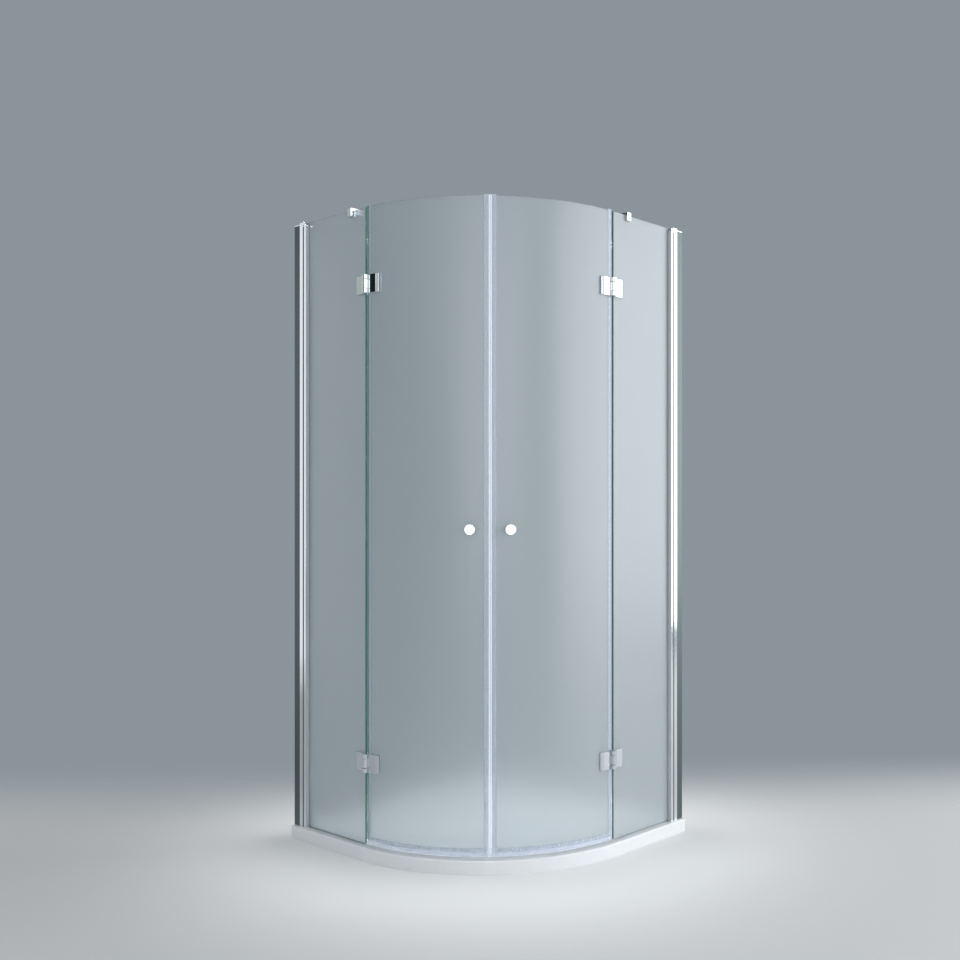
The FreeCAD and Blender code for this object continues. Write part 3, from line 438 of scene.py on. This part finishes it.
def placed_copy(master, name, matrix, finish):
    """A copy of the master in its place, the right side out, with a finish."""
    mesh = master.data.copy()
    mesh.transform(matrix)
    if matrix.determinant() < 0:
        mesh.flip_normals()
    mesh.materials.clear()
    mesh.materials.append(finishes[finish])
    piece = bpy.data.objects.new(name, mesh)
    bpy.context.scene.collection.objects.link(piece)
    return piece


print("points nearer than", NEAR, "m count as one place")

# %% [markdown]
# ## Trim for the profiles: the groove strip
#
# A groove 7 mm wide runs down each face of the glazing profiles and shows as a dark line.
# A dark grey strip is set into each groove and draws that line. A strip with rounded
# shoulders catches the light at its edges. It is a block of the strip's size, with the four
# edges of its outer face rounded. It is modelled once, for the front of the left profile,
# and copied for the other faces.

# %% Model the groove strip
WALL = -0.450
PANE_MIDDLE = -0.422
PROFILE_HALF = 15 * MM
PROFILE_FOOT, PROFILE_TOP = 40 * MM, 1948 * MM
GROOVE_AT, GROOVE_WIDTH, GROOVE_DEPTH = 48 * MM, 7 * MM, 1.7 * MM
STRIP_AIR, STRIP_THICK, STRIP_SHOULDER = 0.15 * MM, 1.1 * MM, 0.7 * MM

profile_length = PROFILE_TOP - PROFILE_FOOT
profile_centre = (PROFILE_FOOT + PROFILE_TOP) / 2
groove_floor = PANE_MIDDLE - PROFILE_HALF + GROOVE_DEPTH
outer_face = groove_floor - STRIP_THICK


def on_outer_face(a, b):
    """Whether an edge lies on the strip's outer face."""
    return max(abs(a.y - outer_face), abs(b.y - outer_face)) < NEAR


strip = rounded_block((WALL + GROOVE_AT, groove_floor - STRIP_THICK / 2, profile_centre),
                      (GROOVE_WIDTH - 2 * STRIP_AIR, STRIP_THICK, profile_length),
                      on_outer_face, STRIP_SHOULDER, segments=4)
print("the strip has", len(strip.data.polygons), "faces")

# %% [markdown]
# ## Trim for the profiles: the glazing lip
#
# The pane is held in its profile by a wedge of soft plastic. A lip of it turns out over
# the end of the profile and lies against the glass. It is a thin block, and its one round
# edge is on the side away from the glass and from the profile's end.

# %% Model the glazing lip
PROFILE_END = WALL + 61 * MM
PANE_HALF = 3 * MM
LIP_THICK, LIP_SET_IN = 0.8 * MM, 1.0 * MM
LIP_ROUND = 0.75 * LIP_THICK
lip_near = PANE_MIDDLE - PANE_HALF
lip_far = PANE_MIDDLE - PROFILE_HALF + LIP_SET_IN
lip_middle = PROFILE_END + LIP_THICK / 2


def on_free_corner(a, b):
    """Whether an edge is the lip's corner away from the glass and from the profile."""
    return max(abs(a.y - lip_far), abs(b.y - lip_far)) < NEAR and min(a.x, b.x) > lip_middle


lip = rounded_block((lip_middle, (lip_near + lip_far) / 2, profile_centre),
                    (LIP_THICK, lip_near - lip_far, profile_length),
                    on_free_corner, LIP_ROUND, segments=4)
print("the lip is", round((lip_near - lip_far) / MM, 1), "mm wide")

# %% [markdown]
# ## Trim for the caps: the screw plug
#
# The cap on each profile is held by a small screw, hidden by a plug about 4 mm across. It
# is a short cylinder with its face outwards, and stands 0.3 mm proud of the cap. Its round
# side is shaded smooth and its face flat.

# %% Model the screw plug
PLUG_R, PLUG_LEVEL, PLUG_DEPTH, PLUG_PROUD = 1.9 * MM, 1952 * MM, 2.4 * MM, 0.3 * MM
PLUG_FACETS = 32
FACE_OUTWARDS = math.radians(90)
SMOOTH_BELOW = math.radians(50)
plug_face = PANE_MIDDLE - PROFILE_HALF - PLUG_PROUD
bpy.ops.mesh.primitive_cylinder_add(
    vertices=PLUG_FACETS, radius=PLUG_R, depth=PLUG_DEPTH, rotation=(FACE_OUTWARDS, 0, 0),
    location=(WALL + GROOVE_AT, plug_face + PLUG_DEPTH / 2, PLUG_LEVEL))
plug = bpy.context.active_object
bpy.ops.object.transform_apply(location=True, rotation=True, scale=True)
bpy.ops.object.shade_smooth_by_angle(angle=SMOOTH_BELOW)
bpy.ops.object.select_all(action="DESELECT")
print("the plug has", len(plug.data.polygons), "faces")

# %% [markdown]
# ## Copies for the other faces
#
# The inside of a profile mirrors its outside across the middle of the pane, and the right
# side mirrors the left across the plane between the two walls. Each copy rides on the
# enclosure.

# %% Copy and ride the trim
across_pane = Matrix.Translation((0, 2 * PANE_MIDDLE, 0)) @ Matrix.Diagonal((1, -1, 1, 1))
to_right_side = Matrix(((0, -1, 0, 0), (-1, 0, 0, 0), (0, 0, 1, 0), (0, 0, 0, 1)))
PLACES = {
    "left_outside": Matrix.Identity(4),
    "left_inside": across_pane,
    "right_outside": to_right_side,
    "right_inside": to_right_side @ across_pane,
}
TRIM = (("groove_strip", strip, "grey_epdm_rubber", "glazing_rubber"),
        ("glazing_lip", lip, "soft_pvc_pad", "clear_gasket"),
        ("cap_plug", plug, "grey_epdm_rubber", "glazing_rubber"))
for name, master, finish, slot in TRIM:
    for where, matrix in PLACES.items():
        piece = placed_copy(master, f"{name}_{where}", matrix, finish)
        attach(piece, "enclosure")
    bpy.data.objects.remove(master)
print("trim:", len(TRIM) * len(PLACES), "pieces")

# %% [markdown]
# ## Magnet bars
#
# Each magnetic seal has a bar of magnet moulded in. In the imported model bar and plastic
# share their faces, and where two faces lie in one place a renderer can't tell which comes
# first. A bar that stays a tenth of a millimetre off the plastic on all sides lets the
# white show cleanly through the clear skin. It is a block, turned to the plane in which the
# doors meet, with its four upright edges rounded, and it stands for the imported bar.

# %% Model the magnet bars
BAR_WIDTH, BAR_DEPTH, BAR_ROUND = 3.0 * MM, 4.4 * MM, 0.4 * MM
BAR_FOOT, BAR_TOP = 66.1 * MM, 1961.9 * MM
BAR_BESIDE_SEAM, BAR_FROM_MIDDLE = -2.55 * MM, 376.43 * MM
SEAM_TURN = math.radians(45)


def is_upright(a, b):
    """Whether an edge runs up, and not across."""
    return abs(a.z - b.z) > NEAR


bar = rounded_block(((BAR_BESIDE_SEAM + BAR_FROM_MIDDLE) / DIAGONAL,
                     (BAR_BESIDE_SEAM - BAR_FROM_MIDDLE) / DIAGONAL, (BAR_FOOT + BAR_TOP) / 2),
                    (BAR_WIDTH, BAR_DEPTH, BAR_TOP - BAR_FOOT),
                    is_upright, BAR_ROUND, segments=3, turn=SEAM_TURN)
for side, matrix in (("left", Matrix.Identity(4)), ("right", to_right_side)):
    piece = placed_copy(bar, f"{side}_magnet_bar", matrix, "white_ferrite_plastic")
    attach(piece, f"{side}_door")
    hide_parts(f"{side}_magnet_strip")
    print(piece.name, "has", len(piece.data.polygons), "faces")
bpy.data.objects.remove(bar)

# %% [markdown]
# ## Floor
#
# The enclosure stands on a plain pale floor. A bright floor behind it would shine through
# the frosted panes, where a real enclosure has its two walls. So the floor is whole in
# front of the tray and beside it, and fades into the even grey of the surround behind. For
# light that comes through glass it fades sooner. How far back a place lies is measured
# from the middle of the tray, square to the seam.

# %% Floor
FLOOR_HALF = 14.0
FLOOR_COLOUR, FLOOR_ROUGH = "#e4e6e7", 0.6
FLOOR_FULL, FLOOR_GONE = 0.12, 1.12
THROUGH_FULL, THROUGH_GONE = -0.1, 0.35
BACKWARDS = (-math.sqrt(0.5), math.sqrt(0.5), 0.0)
bpy.ops.mesh.primitive_plane_add(size=2 * FLOOR_HALF, location=(0, 0, 0))
floor = bpy.context.active_object
floor.name = "floor"
tree, shader, place = new_finish("pale_floor")
shader.inputs["Base Color"].default_value = linear(FLOOR_COLOUR)
shader.inputs["Roughness"].default_value = FLOOR_ROUGH
depth = add(tree, "ShaderNodeVectorMath", {0: place, 1: BACKWARDS}, operation="DOT_PRODUCT")
fades = [add(tree, "ShaderNodeMapRange",
             {"Value": depth.outputs["Value"], "From Min": whole, "From Max": gone},
             interpolation_type="SMOOTHSTEP").outputs[0]
         for whole, gone in ((FLOOR_FULL, FLOOR_GONE), (THROUGH_FULL, THROUGH_GONE))]
path = add(tree, "ShaderNodeLightPath")
fade = add(tree, "ShaderNodeMix",
           {"Factor": path.outputs["Is Transmission Ray"], "A": fades[0], "B": fades[1]})
nothing = add(tree, "ShaderNodeBsdfTransparent")
blend = add(tree, "ShaderNodeMixShader",
            {0: fade.outputs[0], 1: shader.outputs["BSDF"], 2: nothing.outputs[0]})
output = next(n for n in tree.nodes if n.type == "OUTPUT_MATERIAL")
tree.links.new(blend.outputs[0], output.inputs["Surface"])
floor.data.materials.append(finishes["pale_floor"])
print("floor is", 2 * FLOOR_HALF, "m wide")

# %% [markdown]
# ## Surround
#
# Satin glass and chrome look like what is round them. The camera, mirrors and glass see an
# even mid grey, which gives the panes their tone. All other surfaces are lit by a pale sky
# instead, so that shadows stay soft.

# %% Surround
SURROUND = linear("#8a949a")
SKY = linear("#f2f5f8")
SKY_STRENGTH = 0.4
world = bpy.data.worlds.new("studio")
bpy.context.scene.world = world
world.use_nodes = True
tree = world.node_tree
tree.nodes.clear()
sky = add(tree, "ShaderNodeBackground", {"Color": SKY, "Strength": SKY_STRENGTH})
seen = add(tree, "ShaderNodeBackground", {"Color": SURROUND, "Strength": 1.0})
path = add(tree, "ShaderNodeLightPath")
seen_or_shiny = add(tree, "ShaderNodeMath",
                    {0: path.outputs["Is Camera Ray"], 1: path.outputs["Is Glossy Ray"]},
                    operation="MAXIMUM")
shown = add(tree, "ShaderNodeMath",
            {0: seen_or_shiny.outputs[0], 1: path.outputs["Is Transmission Ray"]},
            operation="MAXIMUM")
mixed = add(tree, "ShaderNodeMixShader",
            {0: shown.outputs[0], 1: sky.outputs[0], 2: seen.outputs[0]})
add(tree, "ShaderNodeOutputWorld", {"Surface": mixed.outputs[0]})
print("the surround is", [round(c, 3) for c in SURROUND[:3]])

# %% [markdown]
# ## Cards for the chrome
#
# In an even surround, flat chrome has the colour of the glass behind it and can't be seen.
# A photographer stands cards beside the set for the chrome to mirror. The hinge plates on
# the left look past the camera to its left. A black card there darkens the plates on the
# door, and a pale one beside it lifts the plates on the fixed pane. A third, nearer the
# camera, puts light on the steps at the free end of the plates. The cards show only in
# reflections.

# %% Cards
CARDS = {
    "black_card": ((-1.57, -2.44, 2.22), (0.9, 1.2), linear("#1c2224")),
    "pale_card": ((-2.09, -1.98, 2.25), (0.3, 1.3), linear("#b6c0bc")),
    "step_card": ((0.68, -3.34, 2.35), (1.0, 0.9), linear("#eef2f3")),
}
HINGE_PLACE = Vector((-0.1, -0.44, 1.73))
for name, (where, sides, card_colour) in CARDS.items():
    bpy.ops.mesh.primitive_plane_add(size=1)
    card = bpy.context.active_object
    card.name = name
    card.scale = (*sides, 1)
    card.rotation_mode = "QUATERNION"
    card.rotation_quaternion = (HINGE_PLACE - Vector(where)).to_track_quat("Z", "Y")
    card.location = where
    material = bpy.data.materials.new(name)
    material.use_nodes = True
    tree = material.node_tree
    tree.nodes.clear()
    glow = add(tree, "ShaderNodeEmission", {"Color": card_colour, "Strength": 1.0})
    add(tree, "ShaderNodeOutputMaterial", {"Surface": glow.outputs[0]})
    card.data.materials.append(material)
    card.visible_camera = card.visible_diffuse = card.visible_shadow = False
    card.visible_transmission = card.visible_volume_scatter = False
bpy.ops.object.select_all(action="DESELECT")
print(len(CARDS), "cards")

# %% [markdown]
# ## Lamps
#
# Four soft boxes light the enclosure. The large one on the right is the main light and
# makes the right side brighter than the left. The one behind the camera is what the knobs
# and the flat fronts mirror. The one on the left puts a light edge on the left profile.
# The one above lights the tray through the open top, and a grid keeps its beam narrow.
# Each is given by its place, its two sides in metres, its watts and the spread of its beam
# in degrees, and is turned to the middle of the enclosure.

# %% Lamps
LAMPS = {
    "right": ((4.36, 2.83, 1.9), (6.4, 3.6), 218.0, 180),
    "front": ((4.2, -4.2, 2.0), (5.0, 3.0), 85.0, 180),
    "left": ((-4.2, -1.9, 1.4), (2.4, 3.2), 20.0, 180),
    "top": ((0.0, 0.0, 4.4), (1.0, 1.0), 4.4, 24),
}
AIM = Vector((0, 0, 0.9))
for name, (where, sides, watts, spread) in LAMPS.items():
    data = bpy.data.lights.new(name, "AREA")
    data.shape = "RECTANGLE"
    data.size, data.size_y = sides
    data.energy = watts
    data.spread = math.radians(spread)
    lamp = bpy.data.objects.new(name, data)
    lamp.location = where
    lamp.rotation_mode = "QUATERNION"
    lamp.rotation_quaternion = (AIM - Vector(where)).to_track_quat("-Z", "Y")
    bpy.context.scene.collection.objects.link(lamp)
bpy.context.scene.view_settings.view_transform = "Standard"
print(len(LAMPS), "lamps")
